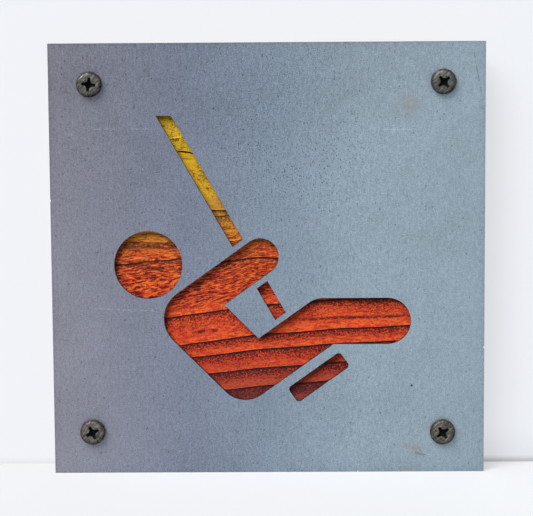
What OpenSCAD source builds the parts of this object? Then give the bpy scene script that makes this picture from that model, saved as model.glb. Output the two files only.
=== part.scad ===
// Silhouette sign: a steel plate with a swing pictogram cut out of it, screwed to a stained board.
// The front looks along -Y, +Z is up, and the origin is the centre of the footprint.

/* [Face plate] */
// Width and height of the square steel plate
plate_side = 150; // [146:1:190]
// Thickness of the steel
plate_t = 2; // [2:0.25:3]
// Distance of each screw hole from the two nearest edges
hole_inset = 14; // [10:0.5:17]
// Diameter of the clearance holes
hole_d = 6.2; // [5.6:0.1:6.6]

/* [Back board] */
// Step from the plate's edge back to the board's edge
board_inset = 2.5; // [1:0.5:4]
// Thickness of the board
board_t = 12; // [12:0.5:18]
// Radius of the board's eased long edges
board_arris = 1.5; // [0.5:0.25:3]

/* [Figure on the plate] */
// Shoulder, sideways from the plate's centre
shoulder_x = -25.5; // [-27:0.1:-22]
// Shoulder, upwards from the plate's centre
shoulder_z = -20.5; // [-22:0.1:-17]
// Width of the steel left between a rope and a limb
web = 1.9; // [1.5:0.1:2.5]

/* [Head] */
// Diameter of the head
head_d = 23.6; // [18:0.1:25]
// Width of the steel left between head and shoulder
neck_web = 2.2; // [1.5:0.1:3]
// Direction from the shoulder to the head
neck_a = 130.1; // [122:0.1:136]

/* [Arm] */
// Width of the arm
arm_w = 12.8; // [9:0.1:14]
// Distance from the shoulder to the centre of the round hand
arm_len = 31.2; // [30:0.1:34]
// Slope of the arm
arm_a = 35.5; // [30:0.1:40]

/* [Torso] */
// Width of the torso
torso_w = 21.5; // [18:0.1:23]
// Distance from the shoulder to the hip
torso_len = 25.8; // [24:0.1:30]
// Direction from the shoulder to the hip
torso_a = -45.2; // [-50:0.1:-40]
// Radius of the round hip
hip_r = 9.7; // [6:0.1:9.7]

/* [Leg] */
// Width of the thigh
thigh_w = 16.8; // [15:0.1:18]
// Distance from the hip to the knee, along the thigh
thigh_len = 32.5; // [31:0.1:36]
// Slope of the thigh
thigh_a = 35.4; // [32:0.1:40]
// Width of the lower leg
leg_w = 16.2; // [15:0.1:17.5]
// Distance from the knee to the centre of the round foot
shin_len = 22.5; // [18:0.1:26]
// Radius of the knee
knee_r = 8; // [4:0.5:8]

/* [Swing] */
// Width of the rope
rope_w = 4.5; // [3:0.1:6]
// Length of the rope above the hand
rope_len = 51; // [40:0.5:54]
// Direction of the rope, from its top down
rope_a = -60.3; // [-64:0.1:-56]
// Distance from the shoulder to the rope, along the arm
rope_grip = 26.8; // [24:0.1:29]
// Length of the seat board
seat_len = 22.2; // [16:0.2:26]
// Thickness of the seat board
seat_t = 6.3; // [4:0.1:8]
// Radius of the seat board's corners
seat_corner = 1.3; // [0.5:0.1:1.9]
// Width of the steel left between thigh and seat board
seat_gap = 3.4; // [2:0.1:4.5]
// Distance from the hip to the middle of the seat board, along the thigh
seat_shift = 19.8; // [16:0.1:24]

/* [Face screws] */
// Diameter of the pan heads
head_screw_d = 8.8; // [8.6:0.1:9.4]
// Height of the pan heads
head_rise = 2.7; // [2.2:0.1:3.2]
// Radius of the pan heads' rounded rim
head_round = 1.3; // [0.6:0.1:1.8]
// Outer diameter of the thread
screw_d = 4.2; // [3.5:0.1:4.8]
// Length below the head
screw_len = 13; // [10:0.5:13]
// Length of the pointed end
screw_tip = 3; // [2:0.5:4]
// Width of the cross recess, from tip to tip
recess_w = 4.9; // [4:0.1:5.2]
// Width of one wing of the cross recess
wing_t = 1.05; // [0.7:0.05:1.2]
// Depth of the cross recess
recess_depth = 1.9; // [1.4:0.1:2.2]

/* [Hanger] */
// Length of the keyhole hanger
hanger_len = 44; // [40:1:56]
// Width of the keyhole hanger
hanger_w = 20; // [19:0.5:24]
// Thickness of the keyhole hanger
hanger_t = 1.5; // [1.5:0.1:2.5]
// Height of the round entry above the plate's centre
entry_z = 40; // [10:1:48]
// Drop of the round entry below the hanger's middle
entry_drop = 2; // [1:0.25:3]
// Diameter of the round entry
entry_d = 9; // [8:0.1:10]
// Width of the slot above the entry
slot_w = 4.8; // [4.4:0.1:5.6]
// Rise from the entry's centre to the slot's upper end
slot_rise = 6.5; // [6:0.1:7]
// Depth of the pocket for the wall screw's head, from the back
head_pocket = 6; // [5:0.5:8]
// Distance of each hanger screw from its end of the hanger
hanger_screw_inset = 5; // [4:0.25:7]
// Outer diameter of the hanger screws' thread
small_d = 3; // [2.5:0.1:3.4]
// Diameter of the hanger screws' countersunk heads
small_head_d = 5.6; // [5:0.1:5.8]
// Length of the hanger screws
small_len = 10; // [8:0.5:10]
// Length of the hanger screws' pointed end
small_tip = 2; // [1:0.5:3]
// Width of the hanger screws' cross recess, from tip to tip
small_recess_w = 2.8; // [2.4:0.1:3]
// Width of one wing of the hanger screws' cross recess
small_wing_t = 0.55; // [0.4:0.05:0.7]
// Depth of the hanger screws' cross recess
small_recess_depth = 1.1; // [0.8:0.1:1.3]

/* [Wall pads] */
// Diameter of the felt pads
pad_d = 12; // [8:1:20]
// Thickness of the felt pads
pad_t = 1; // [1:0.25:3]
// Distance of each pad's centre from the board's edges
pad_inset = 12; // [11:0.5:16]

/* [Fits] */
// Free space round a screw's thread in its pilot hole
thread_gap = 0.05; // [0.05:0.05:0.2]
// Free depth below a screw's tip
tip_gap = 0.25; // [0.1:0.05:0.4]
// Free space round the hanger in its pocket and round its screws
pocket_gap = 0.1; // [0.05:0.05:0.3]
// Free space round the wall screw's head behind the hanger
head_gap = 0.5; // [0.25:0.25:0.75]

/* [Hidden] */
$fn = 96;

// Extra length of a cutting shape past the face it cuts
over = 1;

// Slope of the walls at the tips of a cross recess
recess_a = 26;

// Planes from front to back, with the footprint centred on the origin
face_y = (head_rise - plate_t - board_t - pad_t) / 2;
board_front = face_y + plate_t;
board_back = board_front + board_t;
mid_z = plate_side / 2;
board_side = plate_side - 2 * board_inset;

// Each face screw: corner of the plate, share of the hole's play that it sits off centre, turn of its recess
TOP_LEFT = [[-1, 1], [0.1, 0.1], -8];
TOP_RIGHT = [[1, 1], [-0.47, 0.37], 39];
BOTTOM_LEFT = [[-1, -1], [-0.6, 0.78], 25];
BOTTOM_RIGHT = [[1, -1], [-0.48, 0.3], 36];
CORNERS = [TOP_LEFT, TOP_RIGHT, BOTTOM_LEFT, BOTTOM_RIGHT];

hole_pitch = plate_side / 2 - hole_inset;
play = (hole_d - screw_d) / 2 - thread_gap;
function hole_at(corner) = corner[0] * hole_pitch;
function screw_at(corner) = hole_at(corner) + corner[1] * play;

pad_pitch = board_side / 2 - pad_inset;
hanger_z = mid_z + entry_z + entry_drop;
hanger_screw_x = hanger_len / 2 - hanger_screw_inset;
small_sink = (small_head_d - small_d) / 2;

// Unit vector at an angle, the one a quarter turn to its left, and where two slanted lines meet
function along(a) = [cos(a), sin(a)];
function left_of(a) = [-sin(a), cos(a)];
function meet(p, a, q, b) = p + along(a) * cross(q - p, along(b)) / cross(along(a), along(b));

// The figure in the plate's plane, from the plate's centre
torso_r = torso_w / 2;
arm_r = arm_w / 2;
leg_r = leg_w / 2;
shoulder = [shoulder_x, shoulder_z];
head_c = shoulder + along(neck_a) * (torso_r + neck_web + head_d / 2);

// A line along the middle, the upper and the lower edge of each slanted limb
arm_mid = shoulder + left_of(arm_a) * (torso_r - arm_r);
arm_top = arm_mid + left_of(arm_a) * arm_r;
arm_under = arm_mid - left_of(arm_a) * arm_r;
hip = shoulder + along(torso_a) * torso_len - left_of(torso_a) * (torso_r - hip_r);
thigh_under = hip - left_of(thigh_a) * hip_r;
thigh_top = thigh_under + left_of(thigh_a) * thigh_w;

// Rope: one straight line that stops a web short of the arm and of the thigh
rope_c = arm_mid + along(arm_a) * rope_grip;
rope_sides = [rope_c - left_of(rope_a) * rope_w / 2, rope_c + left_of(rope_a) * rope_w / 2];
over_arm = arm_top + left_of(arm_a) * web;
below_arm = arm_under - left_of(arm_a) * web;
over_thigh = thigh_top + left_of(thigh_a) * web;
rope_foot = meet(rope_c, rope_a, over_arm, arm_a);
rope_head = rope_foot - along(rope_a) * rope_len;
seat_c = thigh_under + along(thigh_a) * seat_shift - left_of(thigh_a) * (seat_gap + seat_t / 2);

// Stands a flat outline upright, its back at y and its front the depth before it
module upright(y, depth) {
    translate([0, y, mid_z])
        rotate([90, 0, 0])
            linear_extrude(depth)
                children();
}

// A limb along +X: round at the origin, straight from there on, its upper edge at the height top
module limb(r, length, width, top) {
    circle(r);
    translate([0, top - width]) square([length, width]);
}

// The body as a chain of limbs, each tangent to the round joint that it hangs on
module body_window() {
    translate(shoulder) {
        rotate(arm_a) {
            limb(torso_r, arm_len, arm_w, torso_r);
            translate([arm_len, torso_r - arm_r]) circle(arm_r);
        }
        rotate(torso_a) {
            limb(torso_r, torso_len, torso_w, torso_r);
            translate([torso_len, hip_r - torso_r]) {
                circle(hip_r);
                rotate(thigh_a - torso_a) lower_body();
            }
        }
    }
}

// Thigh, knee, lower leg and foot, from the hip along +X
module lower_body() {
    limb(hip_r, thigh_len, thigh_w, thigh_w - hip_r);
    translate([thigh_len, thigh_w - hip_r - knee_r]) {
        circle(knee_r);
        rotate(-thigh_a) {
            limb(knee_r, shin_len, leg_w, knee_r);
            translate([shin_len, knee_r - leg_r]) circle(leg_r);
        }
    }
}

// A stretch of rope between two slanted cuts
module rope_window(cut_a, a, cut_b, b) {
    polygon([
        meet(rope_sides[0], rope_a, cut_a, a),
        meet(rope_sides[1], rope_a, cut_a, a),
        meet(rope_sides[1], rope_a, cut_b, b),
        meet(rope_sides[0], rope_a, cut_b, b),
    ]);
}

module rounded_bar(length, width, r) {
    square([length, width - 2 * r], center = true);
    square([length - 2 * r, width], center = true);
    for (x = [-1, 1], y = [-1, 1])
        translate([x * (length / 2 - r), y * (width / 2 - r)])
            circle(r);
}

module seat_window() {
    translate(seat_c)
        rotate(thigh_a)
            rounded_bar(seat_len, seat_t, seat_corner);
}

module face_plate() {
    color("slategray")
        upright(board_front, plate_t)
            difference() {
                square(plate_side, center = true);
                translate(head_c) circle(head_d / 2);
                body_window();
                rope_window(rope_head, 0, over_arm, arm_a);
                rope_window(below_arm, arm_a, over_thigh, thigh_a);
                seat_window();
                for (corner = CORNERS)
                    translate(hole_at(corner))
                        circle(hole_d / 2);
            }
}

// Keyhole outline from its round entry up to the end of its slot
module keyhole(entry, slot) {
    translate([0, entry_z]) {
        circle(entry / 2);
        translate([-slot / 2, 0]) square([slot, slot_rise]);
        translate([0, slot_rise]) circle(slot / 2);
    }
}

module hanger_outline(gap) {
    r = hanger_w / 2 + gap;
    run = hanger_len - hanger_w;
    translate([0, entry_z + entry_drop]) {
        square([run, 2 * r], center = true);
        for (side = [-1, 1])
            translate([side * run / 2, 0])
                circle(r);
    }
}

// Puts a hanger screw's axis at its place, pointing out of the back
module from_back(side) {
    translate([side * hanger_screw_x, board_back, hanger_z])
        rotate([-90, 0, 0])
            children();
}

module back_board() {
    color("orangered")
        difference() {
            translate([-board_side / 2, 0, 0])
                rotate([90, 0, 90])
                    linear_extrude(board_side)
                        translate([board_front + board_t / 2, mid_z])
                            rounded_bar(board_t, board_side, board_arris);
            for (corner = CORNERS)
                upright(face_y + screw_len + tip_gap, screw_len + tip_gap)
                    translate(screw_at(corner))
                        circle(screw_d / 2 + thread_gap);
            upright(board_back + over, hanger_t + over)
                hanger_outline(pocket_gap);
            upright(board_back + over, head_pocket + over)
                keyhole(entry_d + 2 * head_gap, entry_d + 2 * head_gap);
            for (side = [-1, 1])
                from_back(side)
                    translate([0, 0, -small_len - tip_gap])
                        cylinder(h = small_len + tip_gap, r = small_d / 2 + thread_gap);
        }
}

// A cross recess that narrows downwards, with its mouth at the origin and its depth along -Z
module cross_recess(width, wing, depth) {
    wall = depth * tan(recess_a);
    for (turn = [0, 90])
        rotate([90, 0, turn])
            translate([0, 0, -wing / 2])
                linear_extrude(wing)
                    polygon([
                        [-width / 2, over / 2],
                        [width / 2, over / 2],
                        [width / 2, 0],
                        [width / 2 - wall, -depth],
                        [wall - width / 2, -depth],
                        [-width / 2, 0],
                    ]);
}

// Turns a screw's own axis to point out of the front at one place of the plate
module from_front(at, y) {
    translate([at.x, y, mid_z + at.y])
        rotate([90, 0, 0])
            children();
}

module face_screw(corner) {
    color("dimgray")
        from_front(screw_at(corner), face_y)
            difference() {
                union() {
                    rotate_extrude() {
                        square([head_screw_d / 2, head_rise - head_round]);
                        square([head_screw_d / 2 - head_round, head_rise]);
                        intersection() {
                            translate([head_screw_d / 2 - head_round, head_rise - head_round])
                                circle(head_round);
                            square([head_screw_d / 2, head_rise]);
                        }
                    }
                    translate([0, 0, screw_tip - screw_len])
                        cylinder(h = screw_len - screw_tip, r = screw_d / 2);
                    translate([0, 0, -screw_len])
                        cylinder(h = screw_tip, r1 = 0, r2 = screw_d / 2);
                }
                translate([0, 0, head_rise])
                    rotate(corner[2])
                        cross_recess(recess_w, wing_t, recess_depth);
            }
}

module keyhole_hanger() {
    color("silver")
        difference() {
            upright(board_back, hanger_t)
                difference() {
                    hanger_outline(0);
                    keyhole(entry_d, slot_w);
                }
            for (side = [-1, 1])
                from_back(side) {
                    hole_r = small_d / 2 + pocket_gap;
                    translate([0, 0, -hanger_t - over])
                        cylinder(h = hanger_t + 2 * over, r = hole_r);
                    translate([0, 0, -small_sink])
                        cylinder(h = small_sink + over, r1 = hole_r, r2 = hole_r + small_sink + over);
                }
        }
}

module hanger_screw(side) {
    color("silver")
        from_back(side)
            difference() {
                union() {
                    translate([0, 0, -small_sink])
                        cylinder(h = small_sink, r1 = small_d / 2, r2 = small_head_d / 2);
                    translate([0, 0, small_tip - small_len])
                        cylinder(h = small_len - small_tip - small_sink, r = small_d / 2);
                    translate([0, 0, -small_len])
                        cylinder(h = small_tip, r1 = 0, r2 = small_d / 2);
                }
                cross_recess(small_recess_w, small_wing_t, small_recess_depth);
            }
}

module wall_pad(side, up) {
    color("darkslategray")
        translate([side * pad_pitch, board_back, mid_z + up * pad_pitch])
            rotate([-90, 0, 0])
                cylinder(h = pad_t, r = pad_d / 2);
}

face_plate();
back_board();
face_screw(TOP_LEFT);  // face_screw_top_left
face_screw(TOP_RIGHT);  // face_screw_top_right
face_screw(BOTTOM_LEFT);  // face_screw_bottom_left
face_screw(BOTTOM_RIGHT);  // face_screw_bottom_right
keyhole_hanger();
hanger_screw(-1);  // hanger_screw_left
hanger_screw(1);  // hanger_screw_right
wall_pad(-1, 1);  // wall_pad_top_left
wall_pad(1, 1);  // wall_pad_top_right
wall_pad(-1, -1);  // wall_pad_bottom_left
wall_pad(1, -1);  // wall_pad_bottom_right
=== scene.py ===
import math
from contextlib import contextmanager

import bmesh
import bpy
import numpy as np
from bpy.props import FloatProperty, FloatVectorProperty, IntProperty, PointerProperty
from mathutils import Matrix, Vector


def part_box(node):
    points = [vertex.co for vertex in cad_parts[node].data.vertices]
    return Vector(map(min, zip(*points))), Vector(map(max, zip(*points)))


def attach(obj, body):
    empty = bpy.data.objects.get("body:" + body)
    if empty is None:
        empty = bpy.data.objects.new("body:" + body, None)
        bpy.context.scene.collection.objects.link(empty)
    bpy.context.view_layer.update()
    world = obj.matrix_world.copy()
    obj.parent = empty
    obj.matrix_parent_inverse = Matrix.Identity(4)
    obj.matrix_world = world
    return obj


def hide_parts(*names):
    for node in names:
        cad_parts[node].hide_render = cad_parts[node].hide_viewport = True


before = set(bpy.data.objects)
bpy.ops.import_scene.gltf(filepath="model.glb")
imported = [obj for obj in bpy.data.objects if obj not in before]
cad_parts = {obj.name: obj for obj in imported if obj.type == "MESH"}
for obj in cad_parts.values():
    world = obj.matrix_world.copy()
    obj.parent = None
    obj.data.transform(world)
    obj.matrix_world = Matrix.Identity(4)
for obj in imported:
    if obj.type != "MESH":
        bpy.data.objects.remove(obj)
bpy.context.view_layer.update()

bl_info = {
    "name": "Silhouette Sign",
    "version": (1, 0, 0),
    "blender": (4, 5, 0),
    "location": "View3D > Sidebar > Sign",
    "description": "Builds a steel silhouette sign on a stained board, with its screws, hanger and pads",
    "category": "Object",
}

MM = 0.001
BODY = "root"
CORNERS = ("top_left", "top_right", "bottom_left", "bottom_right")
FACE_SCREWS = tuple(f"face_screw_{corner}" for corner in CORNERS)
HANGER_SCREWS = ("hanger_screw_left", "hanger_screw_right")
WALL_PADS = tuple(f"wall_pad_{corner}" for corner in CORNERS)
# How far each screw's recess is turned, in degrees
FACE_SCREW_TURNS = (-8, 39, 25, 36)
HANGER_SCREW_TURNS = (20, 65)

plate_low, plate_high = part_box("face_plate")
board_low, board_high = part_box("back_board")
BOARD_FRONT = board_low.y / MM


def paint(red, green, blue):
    """An sRGB colour from 0 to 255 as the linear colour that shaders use."""

    def linear(value):
        value = value / 255
        return value / 12.92 if value <= 0.04045 else ((value + 0.055) / 1.055) ** 2.4

    return linear(red), linear(green), linear(blue)


def number(name, description, default, **limits):
    """A number that the user can change."""
    return FloatProperty(name=name, description=description, default=default, **limits)


def size(name, description, default):
    """A length in millimetres that the user can change."""
    return number(name, description, default * MM, min=0, unit="LENGTH")


def share(name, description, default):
    """A factor from 0 to 1 that the user can change."""
    return number(name, description, default, min=0, max=1, subtype="FACTOR")


def angular(name, description, degrees):
    """An angle in degrees that the user can change."""
    return number(name, description, math.radians(degrees), subtype="ANGLE")


def colour(name, description, *rgb):
    """A colour that the user can change."""
    return FloatVectorProperty(
        name=name, description=description, default=paint(*rgb), min=0, max=1, subtype="COLOR"
    )


class SIGN_PG_plate(bpy.types.PropertyGroup):
    edge_radius: size("Edge Radius", "Radius of the sheet's rubbed edges", 0.15)
    # These four colours run across the sheet: steel grey with painted reflection of the surroundings
    left_steel_and_reflection: colour("Left Steel", "Purple grey of the sheet's left edge", 135, 135, 147)
    inner_steel_and_reflection: colour("Inner Steel", "Bluish grey left of the middle", 120, 128, 146)
    middle_steel_and_reflection: colour("Middle Steel", "Blue grey of the middle", 126, 141, 157)
    right_steel_and_reflection: colour("Right Steel", "Pale blue grey of the right half", 139, 156, 168)
    cut_steel: colour("Cut Steel", "Dark heat tint on the cut edges", 44, 40, 40)
    rust: colour("Rust", "Brown of the faint stains", 134, 124, 108)
    roughness: share("Roughness", "Roughness of the rolled surface", 0.5)
    metallic: share("Metallic", "How far the sheet shines as bare metal", 0.7)


class SIGN_PG_board(bpy.types.PropertyGroup):
    row: size("Row", "Distance between two rows of the carved grain", 0.3)
    column: size("Column", "Distance between two columns of the carved grain", 1.2)
    brushed_depth: size("Brushed Depth", "How deep the soft early wood is brushed out", 0.3)
    fibre_depth: size("Fibre Depth", "Height of the loose fibres", 0.07)
    split_depth: size("Split Depth", "Depth of the drying split", 1.3)
    ring_climb: number("Ring Climb", "Slope of the growth rings at the middle of the board", 0.085)
    ring_bow: number("Ring Bow", "Loss of that slope in each millimetre to the right", 0.00055)
    crimson: colour("Crimson", "Red where the stain went in deeper", 194, 46, 38)
    bare_wood: colour("Bare Wood", "Colour of the unstained back", 212, 178, 130)
    # Also paints the shade inside the drying split
    line_stain_and_split_shade: colour("Ring Lines", "Stain that has settled along the ring lines", 34, 12, 14)
    roughness: share("Roughness", "Roughness of the stained wood", 0.62)


class SIGN_PG_screws(bpy.types.PropertyGroup):
    rim_round: size("Rim Rounding", "Radius of the pan head's rounded rim", 1.3)
    thread_pitch: size("Thread Pitch", "Distance from one turn of the thread to the next", 1.4)
    thread_depth: size("Thread Depth", "Depth of the thread", 0.6)
    recess_reach: size("Recess Reach", "Distance from the axis to the tip of a recess wing", 2.4)
    wing: size("Wing", "Width of a recess wing at its tip", 1.0)
    recess_depth: size("Recess Depth", "Depth of the cross recess", 1.9)
    worn_zinc: colour("Worn Zinc", "Grey green of the worn flats", 90, 91, 86)
    # Rim colour: patina with painted reflection of darker surroundings
    rim_patina_and_reflection: colour("Patina", "Purple grey of the rims", 60, 56, 60)
    rust: colour("Rust", "Ochre of the rust specks", 134, 104, 70)
    # Painted shade that fills the cross recesses
    recess_shade: colour("Soot", "Black that fills the recesses", 4, 4, 4)
    roughness: share("Roughness", "Roughness of the worn zinc", 0.3)


class SIGN_PG_hanger(bpy.types.PropertyGroup):
    edge_radius: size("Edge Radius", "Radius of the stamped edges", 0.2)
    zinc: colour("Zinc", "Bright zinc of the hanger", 196, 198, 202)
    roughness: share("Roughness", "Roughness of the zinc", 0.34)
    thread_pitch: size("Thread Pitch", "Distance from one turn of the screws' thread to the next", 1.1)
    thread_depth: size("Thread Depth", "Depth of the screws' thread", 0.4)


class SIGN_PG_pads(bpy.types.PropertyGroup):
    felt: colour("Felt", "Colour of the felt", 58, 58, 60)
    fibre_length: size("Fibre Length", "Length of the loose fibres", 1.1)
    fibre_radius: size("Fibre Radius", "Half the thickness of the loose fibres", 0.035)
    fibres: IntProperty(name="Fibres", description="Loose fibres on each pad", default=320, min=0)
    seed: IntProperty(name="Seed", description="Pattern of the loose fibres", default=5)


class SIGN_PG_stage(bpy.types.PropertyGroup):
    lens: number("Lens", "Focal length of the camera in millimetres", 152.65)
    camera_right: size("Camera Right", "How far the camera stands right of the sign's middle", 8.6)
    camera_away: size("Camera Away", "Distance from the sign's middle to the camera", 781.23)
    camera_height: size("Camera Height", "Height of the camera above the floor", 179.47)
    camera_pitch: angular("Pitch", "How far the camera looks down", 7.6267)
    camera_roll: angular("Roll", "How far the camera leans", 0.6642)
    camera_yaw: angular("Yaw", "How far the camera turns", -0.3009)
    lamp: number("Lamp", "Strength of the soft key light", 4.1, min=0)
    fill: number("Fill", "Strength of the soft light behind the sign", 1.2, min=0)
    lamp_spread: angular("Lamp Spread", "Angular width of both lamps", 40)
    ambient: number("Ambient", "Light from all round", 0.12, min=0)
    floor: colour("Floor", "Colour that the floor takes from the light", 150, 152, 155)
    wall: colour("Wall", "Colour that the wall takes from the light", 124, 126, 129)
    floor_glow: colour("Floor Glow", "What the floor adds where it is looked at", 194, 195, 196)
    wall_glow: colour("Wall Glow", "What the wall adds where it is looked at", 213, 215, 219)


def step(operation, swapped=False):
    """A method of Wire that adds one Math node. Swapped, it puts the wire itself last."""

    def method(self, *others):
        return self.math(operation, *((*others, self) if swapped else (self, *others)))

    return method


class Wire:
    """A number in a node tree. Used in an expression, it adds the Math node that works the result out."""

    def __init__(self, tree, socket):
        self.tree = tree
        self.socket = socket

    def math(self, operation, *values, clamp=False):
        node = self.tree.node(
            "ShaderNodeMath", {"operation": operation, "use_clamp": clamp}, dict(enumerate(values))
        )
        return Wire(self.tree, node.outputs[0])

    __add__ = __radd__ = step("ADD")
    __mul__ = __rmul__ = step("MULTIPLY")
    __sub__ = step("SUBTRACT")
    __rsub__ = step("SUBTRACT", swapped=True)
    __truediv__ = step("DIVIDE")
    __rtruediv__ = step("DIVIDE", swapped=True)
    __pow__ = step("POWER")
    __abs__ = step("ABSOLUTE")
    # 1 where the number is over the other, else 0
    above = step("GREATER_THAN")
    most = step("MAXIMUM")
    least = step("MINIMUM")
    sine = step("SINE")

    def clamped(self):
        return self.math("ADD", self, 0, clamp=True)

    def rise(self, low, high):
        """Climbs smoothly from 0 at low to 1 at high."""
        node = self.tree.node(
            "ShaderNodeMapRange",
            {"interpolation_type": "SMOOTHSTEP"},
            {"Value": self, "From Min": low, "From Max": high},
        )
        return Wire(self.tree, node.outputs[0])


class Tree:
    """A node tree, filled through one method."""

    def __init__(self, nodes):
        self.nodes = nodes
        nodes.nodes.clear()

    def node(self, kind, settings=None, inputs=None):
        """Adds a node with its settings and its inputs' values or links. A node means its first output."""
        node = self.nodes.nodes.new(kind)
        for name, value in (settings or {}).items():
            if name == "stops":
                for _ in value[2:]:
                    node.color_ramp.elements.new(0.5)
                for element, (place, tint) in zip(node.color_ramp.elements, value):
                    element.position = place
                    element.color = (*tint, 1)
            else:
                setattr(node, name, value)
        for name, value in (inputs or {}).items():
            socket = node.inputs[name]
            value = getattr(value, "socket", value)
            if isinstance(value, bpy.types.Node):
                value = value.outputs[0]
            if isinstance(value, bpy.types.NodeSocket):
                self.nodes.links.new(value, socket)
            elif socket.type == "RGBA":
                socket.default_value = (*value[:3], 1)
            else:
                socket.default_value = value
        return node

    def split(self, vector):
        node = self.node("ShaderNodeSeparateXYZ", inputs={0: vector})
        return [Wire(self, output) for output in node.outputs]

    def join(self, x=0, y=0, z=0):
        return self.node("ShaderNodeCombineXYZ", inputs={0: x, 1: y, 2: z}).outputs[0]

    def rotation(self, **angles):
        """A rotation about the named axes, for Geometry Nodes."""
        return self.node("FunctionNodeEulerToRotation", inputs={0: self.join(**angles)})

    def looked_at(self):
        """1 for what the camera sees, straight or in a reflection, and 0 for what only lights."""
        rays = self.node("ShaderNodeLightPath").outputs
        seen = Wire(self, rays["Is Camera Ray"]).most(Wire(self, rays["Is Glossy Ray"]))
        return seen.most(Wire(self, rays["Is Transmission Ray"]))


class Finish(Tree):
    """A procedural material. Lengths in its tree are millimetres."""

    def __init__(self, name):
        self.material = bpy.data.materials.new(name)
        self.material.use_nodes = True
        super().__init__(self.material.node_tree)
        place = self.node("ShaderNodeTexCoord")
        self.place = self.scale(place.outputs["Object"], 1 / MM)
        self.normal = place.outputs["Normal"]
        self.x, self.y, self.z = self.split(self.place)

    def scale(self, vector, factor):
        """Multiplies a vector or a colour by a number."""
        node = self.node("ShaderNodeVectorMath", {"operation": "SCALE"}, {0: vector, "Scale": factor})
        return node.outputs[0]

    def away(self, x, z):
        """Distance from a point of the front, as seen from straight ahead."""
        return ((self.x - x) ** 2 + (self.z - z) ** 2) ** 0.5

    def noise(self, vector, scale, detail=2, roughness=0.5, distortion=0):
        node = self.node(
            "ShaderNodeTexNoise",
            inputs={
                "Vector": vector, "Scale": scale, "Detail": detail,
                "Roughness": roughness, "Distortion": distortion,
            },
        )
        return Wire(self, node.outputs[0])

    def grain(self, x, y, z, *detail):
        """Noise on stretched coordinates."""
        return self.noise(self.join(x, y, z), 1, *detail)

    def dots(self, vector, spacing, radius, kept):
        """Round spots on a jittered grid: only the given share of the places has one, of random size."""
        node = self.node("ShaderNodeTexVoronoi", inputs={"Vector": vector, "Scale": 1 / spacing})
        chance, weight, _ = self.split(node.outputs["Color"])
        reach = (0.4 + 0.6 * weight) * (radius / spacing)
        near = (Wire(self, node.outputs["Distance"]) / reach).rise(1.2, 0.5)
        return near * chance.above(1 - kept)

    def blend(self, factor, first, second):
        return self.node("ShaderNodeMix", {"data_type": "RGBA"}, {0: factor, 6: first, 7: second}).outputs[2]

    def ramp(self, value, stops):
        return self.node("ShaderNodeValToRGB", {"stops": stops}, {0: value}).outputs[0]

    def surface(self, normal=None, **inputs):
        """Ends the tree in a Principled shader. Names with underscores stand for sockets with spaces."""
        sockets = {name.replace("_", " "): value for name, value in inputs.items()}
        if normal is not None:
            sockets["Normal"] = normal
        shader = self.node("ShaderNodeBsdfPrincipled", inputs=sockets)
        self.node("ShaderNodeOutputMaterial", inputs={"Surface": shader.outputs[0]})
        return self.material

    def bump(self, height, depth, strength=1.0):
        """A normal from a height of 0 to 1 that stands for the given millimetres."""
        node = self.node(
            "ShaderNodeBump", inputs={"Strength": strength, "Distance": depth * MM, "Height": height}
        )
        return node.outputs[0]


# Pieces

# Points nearer than this in metres are one point
WELD = 1e-6
# Degrees: flatter edges are dissolved, sharper ones are rounded, and the sharpest stay sharp in the shading
FLAT_EDGE, ROUNDED_EDGE = 0.5, 40
SHEET_EDGE, WOOD_EDGE, SCREW_EDGE = 45, 55, 35


def link(name, mesh):
    piece = bpy.data.objects.new(name, mesh)
    bpy.context.scene.collection.objects.link(piece)
    return piece


def mesh_piece(name, points, faces):
    mesh = bpy.data.meshes.new(name)
    mesh.from_pydata([tuple(p) for p in points], [], faces)
    mesh.update()
    return link(name, mesh)


def discard(piece):
    mesh = piece.data
    bpy.data.objects.remove(piece)
    bpy.data.meshes.remove(mesh)


def settle(piece):
    """Turns what a piece's modifiers make into its plain mesh."""
    depsgraph = bpy.context.evaluated_depsgraph_get()
    shaped = piece.evaluated_get(depsgraph)
    mesh = bpy.data.meshes.new_from_object(shaped, preserve_all_data_layers=True, depsgraph=depsgraph)
    mesh.name = piece.name
    piece.modifiers.clear()
    piece.data = mesh
    return piece


def cut(piece, operation, other):
    """Combines a piece with another closed mesh, which is used up."""
    modifier = piece.modifiers.new("Cut", "BOOLEAN")
    modifier.operation = operation
    modifier.solver = "MANIFOLD"
    modifier.object = other
    settle(piece)
    discard(other)
    return piece


@contextmanager
def reshaping(piece):
    """A piece's mesh as a bmesh, which is put back at the end."""
    shape = bmesh.new()
    shape.from_mesh(piece.data)
    yield shape
    shape.to_mesh(piece.data)
    shape.free()


def welded_copy(name, node):
    """A copy of a CAD node with its loose triangles joined."""
    piece = link(name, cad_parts[node].data.copy())
    piece.data.name = name
    with reshaping(piece) as shape:
        bmesh.ops.remove_doubles(shape, verts=shape.verts, dist=WELD)
    return piece


def face_outwards(piece):
    with reshaping(piece) as shape:
        bmesh.ops.recalc_face_normals(shape, faces=shape.faces)
    return piece


def soften(piece, degrees):
    """Shades a piece smooth, but for edges sharper than the given angle."""
    limit = math.radians(degrees)
    with reshaping(piece) as shape:
        for face in shape.faces:
            face.smooth = True
        for edge in shape.edges:
            edge.smooth = len(edge.link_faces) == 2 and edge.calc_face_angle(0) < limit


def full_turn(count):
    """Evenly spread angles once round."""
    return np.linspace(0, 2 * math.pi, count, endpoint=False)


def nick_cutter(x, z, radius):
    """A short bar across the sheet's edge, to be cut out of it as a dent."""
    sides, proud = 10, 1 * MM
    angle = full_turn(sides)
    across, up = (x + radius * np.cos(angle) * 0.6) * MM, (z + radius * np.sin(angle)) * MM
    ends = plate_low.y - proud, plate_high.y + proud
    rows = [np.column_stack([across, np.full(sides, y), up]) for y in ends]
    return face_outwards(mesh_piece("nick_cutter", *lathe(rows)))


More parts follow.
